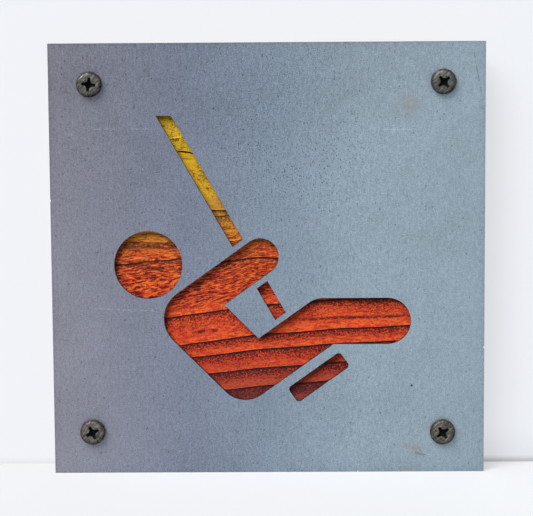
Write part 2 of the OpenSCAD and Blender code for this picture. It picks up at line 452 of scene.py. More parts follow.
def eased_copy(name, node, radius, nicks=()):
    """A copy of a CAD node with its sharp edges rounded and the edge dented where nicks say so."""
    piece = welded_copy(name, node)
    for nick in nicks:
        cut(piece, "DIFFERENCE", nick_cutter(*nick))
    with reshaping(piece) as shape:
        flat = math.radians(FLAT_EDGE)
        bmesh.ops.dissolve_limit(shape, angle_limit=flat, verts=shape.verts, edges=shape.edges)
    bevel = piece.modifiers.new("Eased", "BEVEL")
    bevel.limit_method = "ANGLE"
    bevel.angle_limit = math.radians(ROUNDED_EDGE)
    bevel.width = radius
    bevel.segments = 2
    settle(piece)
    soften(piece, SHEET_EDGE)
    weigh = piece.modifiers.new("Flat Faces", "WEIGHTED_NORMAL")
    weigh.keep_sharp = True
    return settle(piece)


def node_group(name, inputs):
    """An empty Geometry Nodes group with the named inputs, and the identifier of each."""
    group = bpy.data.node_groups.new(name, "GeometryNodeTree")
    identifiers = {}
    for label, kind in inputs:
        socket = group.interface.new_socket(label, in_out="INPUT", socket_type="NodeSocket" + kind)
        identifiers[label] = socket.identifier
    group.interface.new_socket("Geometry", in_out="OUTPUT", socket_type="NodeSocketGeometry")
    return group, identifiers


def finish_group(tree, geometry, material):
    """Ends a Geometry Nodes group: real copies with their material."""
    real = tree.node("GeometryNodeRealizeInstances", inputs={"Geometry": geometry})
    done = tree.node("GeometryNodeSetMaterial", inputs={"Geometry": real, "Material": material})
    tree.node("NodeGroupOutput", inputs={0: done})


def run_group(piece, group, identifiers, values):
    """Runs a group on a piece and leaves its plain mesh."""
    modifier = piece.modifiers.new(group.name, "NODES")
    modifier.node_group = group
    for label, value in values.items():
        modifier[identifiers[label]] = value
    settle(piece)
    bpy.data.node_groups.remove(group)
    return piece


def dress(piece, material, slot, *nodes):
    """Gives a piece its finish and puts it on the sign in the place of the CAD nodes."""
    piece.data.materials.clear()
    piece.data.materials.append(material)
    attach(piece, BODY)
    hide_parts(*nodes)


def lathe(rows):
    """Closed mesh from rings of points, each an array of x, y, z, shut with a point at either end."""
    count = len(rows[0])
    points = [rows[0].mean(0), *np.concatenate(rows), rows[-1].mean(0)]
    faces = []
    for row in range(len(rows) - 1):
        for i in range(count):
            a, b = 1 + row * count + i, 1 + row * count + (i + 1) % count
            faces.append((a, b, b + count, a + count))
    last = len(points) - 1
    for i in range(count):
        j = (i + 1) % count
        faces.append((0, 1 + j, 1 + i))
        faces.append((last, last - count + i, last - count + j))
    return points, faces


# Steel plate

# Scratches: start and end as x and z from the plate's foot, width, and how much lighter
PLATE_SCRATCHES = (
    ((-61.0, 120.7), (-35.5, 120.6), 0.24, 0.33),
    ((-61.5, 58.4), (-38, 57.2), 0.26, 0.33),
    ((-52, 38.3), (-34, 38.6), 0.2, 0.09),
    ((39.5, 120.1), (51.0, 120.0), 0.24, 0.27),
    ((70.6, 147.5), (73.8, 131.0), 0.25, -0.33),
    ((50.8, 6.9), (54.8, 5.7), 0.6, -0.3),
)
# Streaks of rust: start and end, width, strength
PLATE_RUST = (
    ((50.8, 6.9), (54.6, 5.7), 0.75, 0.45),
    ((46.0, 8.9), (54.5, 8.1), 0.9, 0.32),
    ((37.0, 1.6), (41.8, 1.3), 1.1, 0.22),
    ((44.5, 1.3), (52.5, 1.5), 1.3, 0.32),
)
# Stains of rust, and darker areas of painted reflection: x and z, radius, strength
PLATE_STAINS = (((49.0, 128.5), 7.0, 0.35), ((51.0, 7.8), 4.5, 0.22), ((61.0, 14.0), 5.0, 0.25))
PAINTED_REFLECTION_SHADES = (((-8, 133), 22, 0.06), ((-66, 140), 16, 0.06), ((34, 148), 34, 0.09), ((-60, 112), 14, 0.03))
# Small dark pits: x and z, radius
PLATE_DOTS = (((49.8, 30.6), 0.55), ((-39.5, 41.0), 0.3), ((21.5, 92.0), 0.3))
# Where the mill scale is pitted most
PITTED, PITTED_RADIUS = (12, 116), 36
# Dents in the sheet's edge: x, z and radius
PLATE_NICKS = ((75.0, 43.9, 0.55), (-75.0, 96.0, 0.4), (31.0, 0.0, 0.45))


def sheet_steel(look):
    """Rolled steel with upright streaks, specks and scratches, running from purple grey to blue grey in
    painted reflection.
    """
    finish = Finish("Sheet Steel")
    x, z = finish.x, finish.z
    width = (plate_high.x - plate_low.x) / MM
    height = plate_high.z / MM
    drift = finish.noise(finish.place, 0.03, 2)
    across = x / width + 0.5 + 0.06 * (drift - 0.5)
    # The run from purple grey to blue grey is painted reflection of the surroundings
    tint = finish.ramp(
        across,
        [(0, look.left_steel_and_reflection), (0.3, look.inner_steel_and_reflection), (0.5, look.middle_steel_and_reflection), (0.72, look.right_steel_and_reflection)],
    )
    streaks = finish.grain(x * 1.5, finish.y, z * 0.2, 3, 0.6)
    mill = finish.grain(x * 1.1, finish.y, z * 0.6, 3, 0.75)
    sand = finish.noise(finish.place, 2.6, 1)
    cloud = finish.noise(finish.place, 0.055, 3, 0.55)
    mottle = 0.25 * (streaks - 0.5) + 0.8 * (mill - 0.5) + 1.1 * (sand - 0.5)
    light = 1 + (1.1 - 1.3 * (x / width) ** 2) * mottle + 0.2 * (cloud - 0.5)
    # Darker towards the top left: painted reflection
    left, up = (x / width).rise(0.3, -0.4), z / height
    light = light - (0.02 + 0.16 * left) * up.rise(0.4, 0.95) - 0.06 * left * up.rise(0, 0.5)
    inward = (width / 2 - abs(x)).least(z).least(height - z)
    light = light - 0.05 * inward.rise(4, 0) - 0.06 * inward.rise(0.9, 0.3)
    # Darker towards the foot on the right: painted reflection
    light = light - 0.06 * (1 - left) * z.rise(12, 0)
    # Darker areas: painted reflection
    for place, radius, depth in PAINTED_REFLECTION_SHADES:
        light = light - depth * (finish.away(*place) / radius).rise(1.2, 0.1)
    grains = finish.join(x, finish.y * 0.2, z * 0.8)
    dark_specks = finish.dots(grains, 1.3, 0.34, 0.4)
    pitted = (finish.away(*PITTED) / PITTED_RADIUS).rise(1, 0.3)
    close_specks = finish.dots(grains, 0.8, 0.38, 0.55)
    dark_specks = dark_specks + pitted * close_specks * (0.5 + cloud.rise(0.42, 0.56))
    pits = finish.dots(grains, 5.3, 0.34, 0.14)
    pale_specks = finish.dots(grains, 6.1, 0.4, 0.2)
    light = light - 0.36 * dark_specks - 0.5 * pits + 0.25 * pale_specks
    for mark in strokes(finish, PLATE_SCRATCHES):
        light = light + mark
    for place, radius in PLATE_DOTS:
        light = light * (1 - 0.8 * (finish.away(*place) / radius).rise(1, 0.5))
    tint = finish.scale(tint, light)
    for place, radius, strength in PLATE_STAINS:
        near = (finish.away(*place) / radius + 1.2 * (cloud - 0.5)).rise(1, 0.1)
        tint = finish.blend(strength * near, tint, look.rust)
    for mark in strokes(finish, PLATE_RUST):
        tint = finish.blend(mark, tint, look.rust)
    facing = abs(finish.split(finish.normal)[1])
    tint = finish.blend(facing.rise(0.98, 0.75), tint, look.cut_steel)
    rough = (look.roughness + 0.25 * (mill - 0.5) + 0.2 * (cloud - 0.5)).clamped()
    relief = 0.5 * mill + 0.3 * streaks - 0.6 * dark_specks - pits
    return finish.surface(
        normal=finish.bump(relief, 0.03, 0.6),
        Base_Color=tint, Roughness=rough, Metallic=look.metallic,
    )


def strokes(finish, marks):
    """Masks of thin straight marks, which fade at their ends and are broken up."""
    gaps = finish.noise(finish.place, 0.9, 1).rise(0.35, 0.5)
    for start, end, width, strength in marks:
        length = math.dist(start, end)
        along_x, along_z = (end[0] - start[0]) / length, (end[1] - start[1]) / length
        x, z = finish.x - start[0], finish.z - start[1]
        along = (x * along_x + z * along_z) / length
        beside = abs(z * along_x - x * along_z)
        ends = along.rise(0, 0.1) * along.rise(1, 0.9)
        yield strength * (beside.rise(width, width * 0.3) * ends * gaps)


class SIGN_OT_plate(bpy.types.Operator):
    """Dresses the steel sheet with the swing figure cut out of it"""

    bl_idname = "sign.plate"
    bl_label = "Face Plate"

    def execute(self, context):
        look = context.scene.sign_plate
        plate = eased_copy("steel_plate", "face_plate", look.edge_radius, PLATE_NICKS)
        dress(plate, sheet_steel(look), "sheet_steel", "face_plate")
        return {"FINISHED"}


# Stained board

# Growth rings from the bottom up: height of the ring's upper line at the board's middle, its darkness
RINGS = (
    (-9.0, 0.9), (-2.5, 0.9), (4.0, 0.9), (11.0, 0.9), (17.8, 1.0), (24.4, 1.0), (30.6, 1.0), (37.0, 1.0),
    (43.6, 1.0), (48.8, 1.0), (59.2, 1.0), (75.3, 0.8), (82.2, 0.4), (91.5, 0.6), (93.5, 0.6), (104.5, 0.15),
    (118.0, 0.2), (129.0, 0.4), (140.0, 0.4), (151.0, 0.4), (162.0, 0.4),
)
# Small dark marks, and painted highlights on the upper rims of the first two: start and end as x and z from
# the plate's foot, width, strength
WOOD_MARKS = (
    ((-24.8, 49.4), (-21.9, 49.6), 0.95, 0.8),
    ((-20.0, 49.8), (-17.5, 50.1), 0.95, 0.8),
    ((-23.5, 106.0), (-22.5, 105.5), 0.6, 0.6),
    ((-21.3, 99.8), (-20.2, 99.3), 0.75, 0.6),
    ((-26.0, 104.3), (-20.5, 103.8), 0.8, 0.45),
    ((-20.0, 88.9), (-12.0, 88.4), 0.7, 0.4),
    ((-18.0, 86.2), (-10.0, 86.0), 1.3, 0.5),
    ((-57.0, 79.6), (-26.0, 79.9), 1.5, 0.65),
    ((-20.0, 91.0), (-12.0, 91.0), 0.9, 0.5),
    ((-42.0, 71.8), (-35.0, 72.1), 1.0, 0.7),
    ((-54.0, 73.6), (-42.0, 74.2), 0.9, 0.6),
    ((-35.0, 73.8), (-28.0, 74.3), 0.9, 0.5),
)
PAINTED_HIGHLIGHT_MARKS = (((-24.6, 50.9), (-22.3, 51.0), 1.0, 1.0), ((-19.8, 51.2), (-18.0, 51.3), 0.9, 1.0))
# Drying splits: start and end, width, bow
SPLITS = (((-33.0, 112.1), (-23.5, 110.9), 0.7, 0.95),)

# Height of the faint, broken ring in the right half
FAINT_RING = 52.8
# The rings' waves: height low down and high up, length, and where a crest lies
LOW_WAVE, HIGH_WAVE = 0.12, 0.7
WAVE_LENGTH, WAVE_CREST = 27, -30
# How much of the climb is left high up, the rings' lean into the depth, and their dip and bend on the left
CALM_CLIMB, RING_LEAN, SIDE_DIP, HEAD_BEND = 0.3, 0.18, 0.9, 0.8
# Where the rings' waves, calm, dip and bend set in: from and to, by height and by x
CALM_HEIGHT, DIP_HEIGHT, BEND_HEIGHT, TOP_HEIGHT = (58, 70), (36, 46), (66, 71), (77, 79)
WAVE_SIDE, DIP_SIDE, BEND_SIDE = (-36, -26), (-6, -36), (-27, -31)
LOW_BEND_SIDE, TOP_BEND_SIDE = (-50, -40), (-32, -50)
# The carved grain: rows beside each ring line, its random pattern, how far its block stands out past the
# board, and the steps in which its columns find the rings
ABOVE_LINE, BELOW_LINE = 0.07, 0.05
GRAIN_SEED = 11
GRAIN_MARGIN = 2
GRAIN_STEPS = 12

# The stain's bands rise to the right. Its colours by height: in plain wood, where it is bright, in dark grain
STAIN_SLANT = 0.06
STAIN_LIGHT = (
    (22, (114, 55, 55)), (28, (130, 58, 54)), (32, (162, 65, 50)), (39, (206, 73, 42)), (48, (222, 80, 40)),
    (58, (232, 92, 46)), (66, (230, 88, 48)), (74, (236, 99, 46)), (80, (232, 108, 46)), (88, (232, 148, 48)),
    (91, (196, 136, 58)), (94, (190, 136, 58)), (97, (202, 146, 50)), (99, (224, 174, 40)),
    (106, (208, 160, 34)), (120, (220, 174, 36)), (130, (212, 174, 46)),
)
# Bright stain, which also paints the highlights on the carved grain
STAIN_GLOW_AND_HIGHLIGHT = (
    (22, (136, 62, 54)), (32, (196, 80, 48)), (42, (222, 96, 42)), (54, (238, 112, 44)), (66, (242, 116, 42)),
    (78, (246, 136, 48)), (86, (232, 158, 50)), (90, (216, 152, 48)), (104, (224, 178, 42)),
    (130, (214, 184, 52)),
)
STAIN_DARK = (
    (22, (84, 36, 38)), (30, (76, 28, 30)), (36, (74, 26, 28)), (52, (88, 23, 25)), (68, (100, 21, 16)),
    (80, (98, 32, 21)), (87, (90, 50, 40)), (92, (88, 62, 36)), (107, (112, 88, 28)), (130, (78, 66, 20)),
)


def ring_height(look, x, y, z, sine, rise):
    """Height at the board's middle of the growth ring through a point, from its own place in millimetres."""
    calm = rise(z, *CALM_HEIGHT)
    climb = look.ring_climb * x - look.ring_bow * x * x
    wave = sine((x - WAVE_CREST + WAVE_LENGTH / 4) * (2 * math.pi / WAVE_LENGTH)) * rise(x, *WAVE_SIDE)
    top = rise(z, *TOP_HEIGHT)
    bend = rise(x, *BEND_SIDE) * rise(z, *BEND_HEIGHT)
    bend = HEAD_BEND * bend * ((1 - top) * rise(x, *LOW_BEND_SIDE) + top * rise(x, *TOP_BEND_SIDE))
    dip = SIDE_DIP * rise(x, *DIP_SIDE) * rise(z, *DIP_HEIGHT)
    lean = RING_LEAN * (y - BOARD_FRONT)
    swing = wave * (LOW_WAVE + (HIGH_WAVE - LOW_WAVE) * calm)
    return z - climb * (1 - (1 - CALM_CLIMB) * calm) - swing + dip * (1 - calm) - bend + lean


def smooth_rise(value, low, high):
    t = np.clip((value - low) / (high - low), 0, 1)
    return t * t * (3 - 2 * t)


def lattice_noise(rng, across, up, across_step, up_step):
    """Smooth noise from -1 to 1, with cells of the given size."""
    i, j = across / across_step, up / up_step
    i, j = i - i.min(), j - j.min()
    cells = rng.uniform(-1, 1, (int(j.max()) + 2, int(i.max()) + 2))
    i0, j0 = i.astype(int), j.astype(int)
    s, t = i - i0, j - j0
    s, t = s * s * (3 - 2 * s), t * t * (3 - 2 * t)
    low = cells[j0, i0] * (1 - s) + cells[j0, i0 + 1] * s
    high = cells[j0 + 1, i0] * (1 - s) + cells[j0 + 1, i0 + 1] * s
    return low * (1 - t) + high * t


def board_rows(step):
    """Heights of the rows of the carved grain, with a close pair at each ring line."""
    rows = []
    for (low, _), (high, _) in zip(RINGS, RINGS[1:]):
        count = math.ceil((high - low) / step)
        rows += list(np.linspace(low + ABOVE_LINE, high - BELOW_LINE, count))
    return np.array(rows)


def grain_block(look):
    """A closed block with the brushed grain carved into its front, larger than the board elsewhere."""
    left, right = board_low.x / MM - GRAIN_MARGIN, board_high.x / MM + GRAIN_MARGIN
    columns = np.linspace(left, right, math.ceil((right - left) / (look.column / MM)))
    rows = board_rows(look.row / MM)
    x, ring = np.meshgrid(columns, rows)
    z = ring.copy()
    for _ in range(GRAIN_STEPS):
        z = z + ring - ring_height(look, x, BOARD_FRONT, z, np.sin, smooth_rise)
    heights = np.array([ring_top for ring_top, _ in RINGS])
    index = np.clip(np.searchsorted(heights, ring), 1, len(heights) - 1)
    width = heights[index] - heights[index - 1]
    part = (ring - heights[index - 1]) / width
    rng = np.random.default_rng(GRAIN_SEED)
    early = 1 - smooth_rise(part, 0.3, 0.97)
    depth = look.brushed_depth / MM * early
    fibre = 0.55 * lattice_noise(rng, x, ring, 7, 0.5) + 0.6 * lattice_noise(rng, x, ring, 2.6, 0.6)
    swell = lattice_noise(rng, x, ring, 16, 5)
    depth = depth + look.fibre_depth / MM * (1 + fibre * (0.5 + 0.8 * early) + 0.5 * swell)
    y = BOARD_FRONT + np.maximum(depth, 0.01)
    count_z, count_x = x.shape
    face_points = np.stack([x, y, z], -1).reshape(-1, 3)
    index_grid = np.arange(count_x * count_z).reshape(count_z, count_x)
    rim = np.concatenate([
        index_grid[0, :-1], index_grid[:-1, -1], index_grid[-1, :0:-1], index_grid[:0:-1, 0],
    ])
    back_points = face_points[rim].copy()
    back_points[:, 1] = board_high.y / MM + GRAIN_MARGIN
    points = np.concatenate([face_points, back_points]) * MM
    a, b = index_grid[:-1, :-1], index_grid[:-1, 1:]
    c, d = index_grid[1:, 1:], index_grid[1:, :-1]
    faces = np.stack([a, b, c, d], -1).reshape(-1, 4).tolist()
    total = len(face_points)
    for i, front_index in enumerate(rim):
        j = (i + 1) % len(rim)
        faces.append([int(rim[j]), int(front_index), total + i, total + j])
    faces.append([total + i for i in range(len(rim) - 1, -1, -1)])
    return mesh_piece("stained_board", points, faces)


def split_cutter(start, end, width, bow, depth):
    """A thin bowed blade that stands in the board's front, to be cut out as a drying split."""
    rows = []
    for t in np.linspace(0, 1, 13):
        x = start[0] + (end[0] - start[0]) * t
        z = start[1] + (end[1] - start[1]) * t + 4 * bow * t * (1 - t)
        half = width / 2 * (0.1 + 0.9 * math.sin(math.pi * t))
        outline = ((-1, -1), (0.7 * depth, -0.8), (depth, 0), (0.7 * depth, 0.8), (-1, 1))
        rows.append(np.array([(x, BOARD_FRONT + deep, z + half * side) for deep, side in outline]) * MM)
    return face_outwards(mesh_piece("split_cutter", *lathe(rows)))


def stain_ramp(finish, value, stops):
    low, high = stops[0][0], stops[-1][0]
    placed = [((place - low) / (high - low), paint(*tint)) for place, tint in stops]
    return finish.ramp((value - low) / (high - low), placed)


def stained_softwood(look):
    """Brushed softwood, stained from yellow down to dark red, with dark ring lines and short dark fibres."""
    finish = Finish("Stained Softwood")
    x, y, z = finish.x, finish.y, finish.z
    shift = finish.noise(finish.join(x * 0.12, y * 0.12, z * 0.5), 1, 3, 0.6) - 0.5
    ring = ring_height(look, x, y, z, Wire.sine, Wire.rise) + 0.35 * shift
    (lowest, _), (second, dark) = RINGS[:2]
    start, width = ring * 0 + lowest, second - lowest
    for below, line, above in zip(RINGS, RINGS[1:], RINGS[2:]):
        past = ring.above(line[0])
        start = start + past * (line[0] - below[0])
        width = past * ((above[0] - line[0]) - (line[0] - below[0])) + width
        dark = past * (above[1] - line[1]) + dark
    from_line = ring - start
    to_line = width - from_line

    dashes = finish.grain(x * 0.26, y, ring * 2.2, 2, 0.6, 0.3)
    curls = finish.grain(x * 0.6, y, ring * 2, 2, 0.6, 0.8)
    streaks = finish.grain(x * 0.06, y, ring * 0.9, 3, 0.6)
    grit = finish.noise(finish.place, 1.8, 2, 0.7)
    fuzz = finish.grain(x * 1.6, y, ring * 2.8, 1, 0.6)
    hairs = finish.grain(x * 0.32, y, (ring - 0.12 * (x + 28).most(0)) * 3.2, 3, 0.6, 0.3)
    patches = finish.grain(x * 0.09, y, z * 0.2, 2)
    amber = finish.grain(x * 0.14, y, ring * 0.4, 2)
    blush = finish.grain(x * 0.45, y, ring * 1.3, 3, 0.6)
    blotch = finish.noise(finish.place, 0.45, 2, 0.5, 0.4)

    stain_at = z - STAIN_SLANT * x
    rough_band = ring.rise(60, 64) * ring.rise(92, 84) * (1 - 0.45 * ring.rise(74.8, 76.5))
    yellow = stain_at.rise(88, 95)
    late = (from_line / width).rise(0.15, 1) * dark * (1 + 0.9 * z.rise(50, 34))
    below_line = (to_line + 4 * (curls - 0.5) + 4 * (grit - 0.5)).rise(3.2, -0.2) * dark
    tone = 1.0 - 0.36 * late - 0.62 * below_line
    coarse = (1.6 + 2 * late) * (1 - 0.5 * rough_band)
    tone = tone + 0.6 * (streaks - 0.5) + coarse * (grit + fuzz - 1) + (curls - 0.5) + 0.9 * (patches - 0.5)
    pitted = 0.3 * dashes.rise(0.56, 0.42) + 1.6 * hairs.rise(0.53, 0.43) + 0.1 * curls.rise(0.52, 0.38)
    tone = tone - rough_band * (pitted - 0.5)
    tone = tone - yellow * (0.14 * curls.rise(0.48, 0.36) + 0.45 * blotch.rise(0.47, 0.32))
    tone = tone.clamped() ** 1.35
    glow = from_line.rise(3.4, 0.5) * (0.2 + 0.5 * dark) + 2.5 * (curls - 0.5)
    # Bright flecks along the fibres in the rough band: painted highlights on the carved grain, with amber
    # patches of stain
    glow = glow + rough_band * (0.8 * hairs.rise(0.52, 0.62) + 0.6 * amber.rise(0.5, 0.62))
    # Painted highlights above the two small marks
    for mark in strokes(finish, PAINTED_HIGHLIGHT_MARKS):
        glow = glow.most(mark)
    stains = STAIN_LIGHT, STAIN_GLOW_AND_HIGHLIGHT, STAIN_DARK
    light, bright, deep = (stain_ramp(finish, stain_at, stops) for stops in stains)
    light = finish.blend(glow.clamped(), light, bright)
    reddened = 0.75 * blush.rise(0.46, 0.58) * stain_at.rise(28, 40) * stain_at.rise(84, 78)
    light = finish.blend(reddened, light, look.crimson)
    tint = finish.blend(tone, deep, light)
    fleck = (dashes + 0.6 * (grit - 0.5)).rise(0.41, 0.33) * (0.1 + 0.4 * rough_band)
    line_mask = (to_line + 0.8 * (grit - 0.5)).rise(1, 0.3) * (1.2 * dark).least(1) * (0.7 + 0.6 * grit)
    faint = abs(ring - FAINT_RING + 0.025 * (x - 16) + 1.6 * (curls - 0.5)).rise(0.85, 0.1)
    faint = faint * x.rise(2, 16) * (6 * curls - 2.1).clamped() * 0.9
    settled = line_mask.most(fleck).most(faint)
    for mark in strokes(finish, WOOD_MARKS):
        settled = settled.most(mark)
    # Inside the drying split the wood is painted dark: painted shade in the crack
    hollow_shade = y.rise(BOARD_FRONT + 0.36, BOARD_FRONT + 0.46) * y.rise(BOARD_FRONT + 1.6, BOARD_FRONT + 1.4)
    for start_at, end_at, _, _ in SPLITS:
        middle_x, middle_z = (start_at[0] + end_at[0]) / 2, (start_at[1] + end_at[1]) / 2
        settled = settled.most(hollow_shade * (abs(z - middle_z).rise(2, 1.3) * abs(x - middle_x).rise(9, 8)))
    # Ring-line stain, and painted shade in the split
    tint = finish.blend(settled.clamped(), tint, look.line_stain_and_split_shade)
    back = y.rise(BOARD_FRONT + 1.5, BOARD_FRONT + 7)
    bare = finish.scale(look.bare_wood, 1 - 0.35 * late + 0.2 * (streaks - 0.5) + 0.15 * (grit - 0.5))
    tint = finish.blend((back * (0.6 + 0.8 * patches)).clamped(), tint, bare)
    rough = (look.roughness + 0.3 * (grit - 0.5)).clamped()
    relief = (0.2 + 0.4 * rough_band) * dashes + 0.4 * grit + 0.3 * curls
    return finish.surface(
        normal=finish.bump(relief, 0.22, 0.9),
        Base_Color=tint, Roughness=rough, Specular_IOR_Level=0.15,
    )


class SIGN_OT_board(bpy.types.Operator):
    """Carves the brushed grain into the board and stains it"""

    bl_idname = "sign.board"
    bl_label = "Back Board"

    def execute(self, context):
        look = context.scene.sign_board
        board = grain_block(look)
        cut(board, "INTERSECT", welded_copy("board_core", "back_board"))
        for start, end, width, bow in SPLITS:
            cut(board, "DIFFERENCE", split_cutter(start, end, width, bow, look.split_depth / MM))
        soften(board, WOOD_EDGE)
        dress(board, stained_softwood(look), "stained_wood", "back_board")
        return {"FINISHED"}


# Screws

class SIGN_OT_face_screws(bpy.types.Operator):
    """Models a worn pan head screw and sets the four of them"""

    bl_idname = "sign.face_screws"
    bl_label = "Face Screws"

    def execute(self, context):
        look = context.scene.sign_screws
        low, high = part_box(FACE_SCREWS[0])
        radius = (high.x - low.x) / 2
        rise = plate_low.y - low.y
        length = high.y - plate_low.y
        core = [(radius * 0.47, 0), *pan_head(radius, rise, look.rim_round)]
        screw = threaded_screw("pan_screw", core, length, look.thread_pitch, look.thread_depth)
        cut(screw, "DIFFERENCE", cross_cutter(rise, look.recess_reach, look.wing, look.recess_depth))
        soften(screw, SCREW_EDGE)
        material = worn_zinc(look, rise, radius)
        seats = box_middles(FACE_SCREWS, plate_low.y)
        screws = set_screws("face_screws", screw, seats, FACE_SCREW_TURNS, math.radians(90), material)
        dress(screws, material, "screw_zinc", *FACE_SCREWS)
        return {"FINISHED"}


def box_middles(nodes, y):
    """The middle of each node's box, seen from the front, at the given y."""
    boxes = [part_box(node) for node in nodes]
    return [((low.x + high.x) / 2, y, (low.z + high.z) / 2) for low, high in boxes]


def pan_head(radius, rise, rounding):
    """Profile of a pan head as radius and height, from its underside to the middle of its top."""
    steps, reach = 10, rounding * 1.15
    inner = radius - reach
    profile = [(radius * 0.97, 0), (radius, rise * 0.08), (radius, (rise - rounding) * 0.6)]
    for i in range(steps):
        angle = math.pi / 2 * i / steps
        height = rise - rounding + rounding * 0.97 * math.sin(angle)
        profile.append((inner + reach * math.cos(angle) ** 0.9, height))
    profile.append((inner, rise - rounding + rounding * 0.97))
    for part in (0.8, 0.6, 0.4, 0.2):
        profile.append((inner * part, rise * 0.989 + rise * 0.011 * (1 - part ** 2)))
    return profile


def threaded_screw(name, profile, length, pitch, depth):
    """A screw along Z: the head's profile above the origin, a threaded and pointed shank below it."""
    sides = 48
    angle = full_turn(sides)
    major = profile[0][0]
    tip = length * 0.24
    hoops = []
    for height in np.arange(-length, -pitch * 0.4, pitch / 9):
        reach = min(1, (height + length) / tip) ** 0.75
        turn = (height / pitch - angle / (2 * math.pi)) % 1
        ridge = np.clip(1 - np.abs(turn - 0.5) / 0.32, 0, 1)
        radius = (major - depth) * reach + depth * ridge * min(1, reach * 1.3)
        hoops.append((np.maximum(radius, 0.02 * MM), height))
    for radius, height in profile:
        hoops.append((major - depth if height == 0 and radius == major else radius, height))
    rows = [np.stack([r * np.cos(angle), r * np.sin(angle), np.full(sides, h)], -1) for r, h in hoops]
    return mesh_piece(name, *lathe(rows))


def cross_cutter(top, reach, wing, depth):
    """A cross whose wings flare into each other, narrowing to a blunt point, to be cut out of a head."""
    tip, root = Vector((reach, wing / 2)), Vector((reach * 0.4, reach * 0.4))
    bend = Vector((reach * 0.42, wing * 0.44))
    flare = [tip * (1 - t) ** 2 + bend * 2 * t * (1 - t) + root * t ** 2 for t in (i / 6 for i in range(6))]
    mirrored = [Vector((point.y, point.x)) for point in reversed(flare)]
    quarter = [Vector((reach * 1.03, 0)), *flare, root, *mirrored]
    spins = [Matrix.Rotation(turn * math.pi / 2, 2) for turn in range(4)]
    flat = np.array([tuple(spin @ point) for spin in spins for point in quarter])
    rows = []
    for height, grow in (
        (-depth * 1.12, 0.12), (-depth, 0.5), (-depth * 0.6, 0.72), (0, 1.0), (0.6 * MM, 1.08),
    ):
        rows.append(np.column_stack([flat * grow, np.full(len(flat), top + height)]))
    return mesh_piece("cross_cutter", *lathe(rows))


def set_screws(name, screw, seats, turns, facing, material):
    """Sets copies of a screw at their seats, each turned about its axis, as one mesh."""
    seat_mesh = bpy.data.meshes.new(name)
    seat_mesh.from_pydata(seats, [], [])
    turn = seat_mesh.attributes.new("turn", "FLOAT", "POINT")
    turn.data.foreach_set("value", [math.radians(t) for t in turns])
    piece = link(name, seat_mesh)

    group, sockets = node_group("Set Screws", (
        ("Geometry", "Geometry"), ("Screw", "Object"), ("Facing", "Float"), ("Material", "Material"),
    ))
    tree = Tree(group)
    given = tree.node("NodeGroupInput").outputs
    model = tree.node("GeometryNodeObjectInfo", {"transform_space": "ORIGINAL"}, {"Object": given["Screw"]})
    position = tree.node("GeometryNodeInputPosition")
    marked = tree.node(
        "GeometryNodeStoreNamedAttribute",
        {"data_type": "FLOAT_VECTOR", "domain": "POINT"},
        {"Geometry": model.outputs["Geometry"], "Name": "local", "Value": position},
    )
    turned = tree.node("GeometryNodeInputNamedAttribute", {"data_type": "FLOAT"}, {"Name": "turn"})
    rotation = tree.node(
        "FunctionNodeRotateRotation",
        {"rotation_space": "LOCAL"},
        {0: tree.rotation(x=given["Facing"]), 1: tree.rotation(z=turned.outputs["Attribute"])},
    )
    points = tree.node("GeometryNodeMeshToPoints", inputs={"Mesh": given["Geometry"]})
    copies = tree.node(
        "GeometryNodeInstanceOnPoints", inputs={"Points": points, "Instance": marked, "Rotation": rotation}
    )
    finish_group(tree, copies, given["Material"])
    run_group(piece, group, sockets, {"Screw": screw, "Facing": facing, "Material": material})
    discard(screw)
    return piece


def worn_zinc(look, rise, radius):
    """Dull zinc: grey green where it is rubbed; brown towards the rim, as patina with painted reflection;
    black painted shade in the recess; darker on its right and lower side, as painted shade.
    """
    finish = Finish("Worn Zinc")
    local = finish.node("ShaderNodeAttribute", {"attribute_name": "local"}).outputs["Vector"]
    x, y, z = finish.split(finish.scale(local, 1 / MM))
    out = (x ** 2 + y ** 2) ** 0.5
    grime = finish.noise(finish.place, 0.7, 3, 0.6)
    scuffs = finish.grain((finish.x + finish.z) * 0.25, finish.y, (finish.x - finish.z) * 1.5, 2, 0.6)
    # Darker towards the rim: patina with painted reflection of darker surroundings
    rim = (out / (radius / MM) + 0.5 * (grime - 0.5)).rise(0.6, 1.0)
    tint = finish.blend(rim, look.worn_zinc, look.rim_patina_and_reflection)
    # Darker where the surface faces right and down: painted shade
    away, _, down = finish.split(finish.normal)
    painted_shade_side = (away - down).rise(0, 1)
    worn = scuffs.rise(0.52, 0.62)
    wear_and_painted_shade = 0.85 + 1.8 * (scuffs - 0.5) + 2 * (grime - 0.5) + 0.8 * worn - 0.4 * painted_shade_side
    tint = finish.scale(tint, wear_and_painted_shade)
    low_down = finish.z.rise(80, 70)
    specks = finish.noise(finish.place, 1.5, 2, 0.6).rise(0.54, 0.66)
    tint = finish.blend(specks * (0.15 + 0.5 * low_down), tint, look.rust)
    # Black in the cross recess: painted shade
    hollow_shade = z.rise(rise / MM - 0.06, rise / MM - 0.22) * out.rise(2.75, 2.5)
    tint = finish.blend(hollow_shade, tint, look.recess_shade)
    rough = (look.roughness + 0.15 * rim + 0.4 * (grime - 0.5) + 0.5 * hollow_shade).clamped()
    return finish.surface(
        normal=finish.bump(0.5 * grime + 0.5 * scuffs, 0.16, 0.9),
        Base_Color=tint, Roughness=rough, Metallic=(0.5 - 0.5 * hollow_shade), Specular_IOR_Level=0.2,
    )


# Hanger

class SIGN_OT_hanger(bpy.types.Operator):
    """Dresses the keyhole hanger in the back"""

    bl_idname = "sign.hanger"
    bl_label = "Keyhole Hanger"

    def execute(self, context):
        look = context.scene.sign_hanger
        hanger = eased_copy("zinc_hanger", "keyhole_hanger", look.edge_radius)
        dress(hanger, bright_zinc("Bright Zinc", look), "hanger_steel", "keyhole_hanger")
        return {"FINISHED"}


